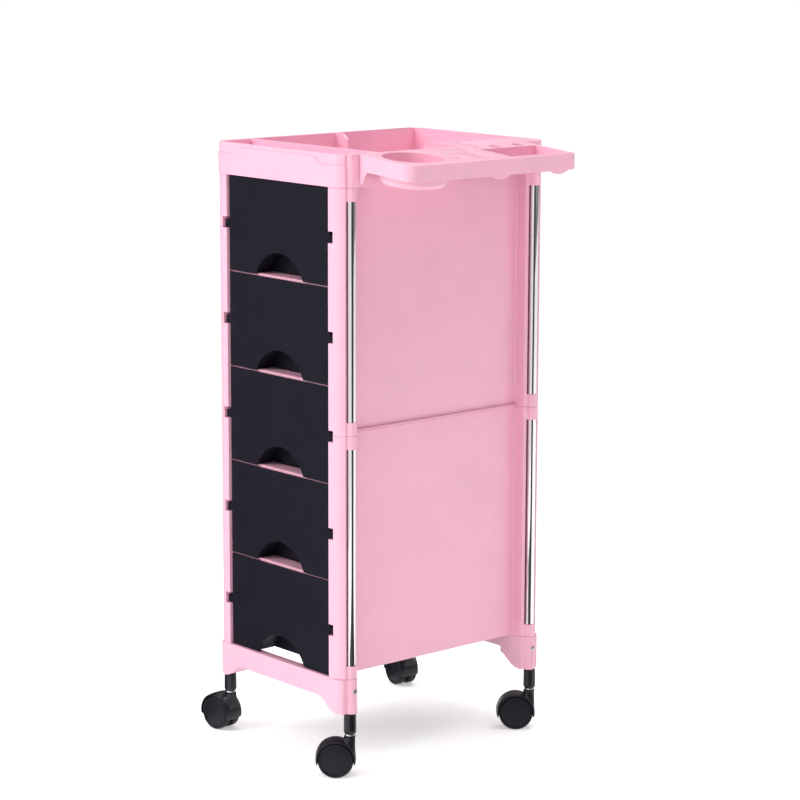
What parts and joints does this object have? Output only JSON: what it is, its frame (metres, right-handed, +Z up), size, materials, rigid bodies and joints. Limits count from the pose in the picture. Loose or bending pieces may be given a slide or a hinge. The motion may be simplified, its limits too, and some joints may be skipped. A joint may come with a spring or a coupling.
{
  "type": "rolling salon trolley",
  "caption": "Tall rolling salon trolley with slide-out drawers, chrome corner tubes, a binned top tray, a side shelf with bowl well and foil trough, and twin-wheel swivel casters.",
  "frame": {"origin": "centre of the bounding box in plan, on the floor under the wheels", "axes": "+Z up; the drawers open towards -Y; the side shelf is on the +X side"},
  "size_m": [0.4378, 0.4154, 0.867],
  "materials": {
    "pink_plastic": "satin moulded polypropylene",
    "drawer_plastic": "matte blue-black, fine grained",
    "caster_plastic": "satin black nylon",
    "caster_wheel": "satin black nylon tread and disc",
    "chrome": "bright plated tube",
    "steel": "zinc-plated steel"
  },
  "bodies": {
    "carcass": {"base_bar_front": "pink_plastic", "base_bar_rear": "pink_plastic", "caster_front_left_sleeve": "caster_plastic", "caster_front_right_sleeve": "caster_plastic", "caster_rear_left_sleeve": "caster_plastic", "caster_rear_right_sleeve": "caster_plastic", "rail_front_1": "pink_plastic", "rail_front_2": "pink_plastic", "rail_front_3": "pink_plastic", "rail_front_4": "pink_plastic", "rail_rear_1": "pink_plastic", "rail_rear_2": "pink_plastic", "rail_rear_3": "pink_plastic", "rail_rear_4": "pink_plastic", "screw_front_left": "steel", "screw_front_right": "steel", "screw_rear_left": "steel", "screw_rear_right": "steel", "side_left_lower": "pink_plastic", "side_left_upper": "pink_plastic", "side_right_lower": "pink_plastic", "side_right_upper": "pink_plastic", "side_shelf": "pink_plastic", "top_tray": "pink_plastic", "tube_front_left": "chrome", "tube_front_right": "chrome", "tube_rear_left": "chrome", "tube_rear_right": "chrome"},
    "drawer_1": {"drawer_1": "drawer_plastic"},
    "drawer_2": {"drawer_2": "drawer_plastic"},
    "drawer_3": {"drawer_3": "drawer_plastic"},
    "drawer_4": {"drawer_4": "drawer_plastic"},
    "drawer_5": {"drawer_5": "drawer_plastic"},
    "caster_front_right_fork": {"caster_front_right_hood": "caster_plastic", "caster_front_right_stem": "steel", "caster_front_right_axle": "steel"},
    "caster_front_right_wheel_a": {"caster_front_right_wheel_a": "caster_wheel"},
    "caster_front_right_wheel_b": {"caster_front_right_wheel_b": "caster_wheel"},
    "caster_front_left_fork": {"caster_front_left_hood": "caster_plastic", "caster_front_left_stem": "steel", "caster_front_left_axle": "steel"},
    "caster_front_left_wheel_a": {"caster_front_left_wheel_a": "caster_wheel"},
    "caster_front_left_wheel_b": {"caster_front_left_wheel_b": "caster_wheel"},
    "caster_rear_right_fork": {"caster_rear_right_hood": "caster_plastic", "caster_rear_right_stem": "steel", "caster_rear_right_axle": "steel"},
    "caster_rear_right_wheel_a": {"caster_rear_right_wheel_a": "caster_wheel"},
    "caster_rear_right_wheel_b": {"caster_rear_right_wheel_b": "caster_wheel"},
    "caster_rear_left_fork": {"caster_rear_left_hood": "caster_plastic", "caster_rear_left_stem": "steel", "caster_rear_left_axle": "steel"},
    "caster_rear_left_wheel_a": {"caster_rear_left_wheel_a": "caster_wheel"},
    "caster_rear_left_wheel_b": {"caster_rear_left_wheel_b": "caster_wheel"}
  },
  "joints": [
    {"name": "drawer_1_slide", "type": "slide", "parent": "carcass", "child": "drawer_1", "axis": [0, -1, 0], "range_m": [0, 0.25]},
    {"name": "drawer_2_slide", "type": "slide", "parent": "carcass", "child": "drawer_2", "axis": [0, -1, 0], "range_m": [0, 0.25]},
    {"name": "drawer_3_slide", "type": "slide", "parent": "carcass", "child": "drawer_3", "axis": [0, -1, 0], "range_m": [0, 0.25]},
    {"name": "drawer_4_slide", "type": "slide", "parent": "carcass", "child": "drawer_4", "axis": [0, -1, 0], "range_m": [0, 0.25]},
    {"name": "drawer_5_slide", "type": "slide", "parent": "carcass", "child": "drawer_5", "axis": [0, -1, 0], "range_m": [0, 0.25]},
    {"name": "caster_front_right_swivel", "type": "hinge", "parent": "carcass", "child": "caster_front_right_fork", "pos_m": [0.10561, -0.16066, 0.0576], "axis": [0, 0, 1], "continuous": true},
    {"name": "caster_front_right_roll_a", "type": "hinge", "parent": "caster_front_right_fork", "child": "caster_front_right_wheel_a", "pos_m": [0.09276, -0.17599, 0.025], "axis": [0.766, -0.6428, 0], "continuous": true},
    {"name": "caster_front_right_roll_b", "type": "hinge", "parent": "caster_front_right_fork", "child": "caster_front_right_wheel_b", "pos_m": [0.09276, -0.17599, 0.025], "axis": [0.766, -0.6428, 0], "continuous": true},
    {"name": "caster_front_left_swivel", "type": "hinge", "parent": "carcass", "child": "caster_front_left_fork", "pos_m": [-0.16838, -0.16066, 0.0576], "axis": [0, 0, 1], "continuous": true},
    {"name": "caster_front_left_roll_a", "type": "hinge", "parent": "caster_front_left_fork", "child": "caster_front_left_wheel_a", "pos_m": [-0.18824, -0.1631, 0.025], "axis": [0.1219, -0.9925, 0], "continuous": true},
    {"name": "caster_front_left_roll_b", "type": "hinge", "parent": "caster_front_left_fork", "child": "caster_front_left_wheel_b", "pos_m": [-0.18824, -0.1631, 0.025], "axis": [0.1219, -0.9925, 0], "continuous": true},
    {"name": "caster_rear_right_swivel", "type": "hinge", "parent": "carcass", "child": "caster_rear_right_fork", "pos_m": [0.10561, 0.18334, 0.0576], "axis": [0, 0, 1], "continuous": true},
    {"name": "caster_rear_right_roll_a", "type": "hinge", "parent": "caster_rear_right_fork", "child": "caster_rear_right_wheel_a", "pos_m": [0.09276, 0.16801, 0.025], "axis": [0.766, -0.6428, 0], "continuous": true},
    {"name": "caster_rear_right_roll_b", "type": "hinge", "parent": "caster_rear_right_fork", "child": "caster_rear_right_wheel_b", "pos_m": [0.09276, 0.16801, 0.025], "axis": [0.766, -0.6428, 0], "continuous": true},
    {"name": "caster_rear_left_swivel", "type": "hinge", "parent": "carcass", "child": "caster_rear_left_fork", "pos_m": [-0.16838, 0.18334, 0.0576], "axis": [0, 0, 1], "continuous": true},
    {"name": "caster_rear_left_roll_a", "type": "hinge", "parent": "caster_rear_left_fork", "child": "caster_rear_left_wheel_a", "pos_m": [-0.18802, 0.18715, 0.025], "axis": [-0.1908, -0.9816, 0], "continuous": true},
    {"name": "caster_rear_left_roll_b", "type": "hinge", "parent": "caster_rear_left_fork", "child": "caster_rear_left_wheel_b", "pos_m": [-0.18802, 0.18715, 0.025], "axis": [-0.1908, -0.9816, 0], "continuous": true}
  ]
}
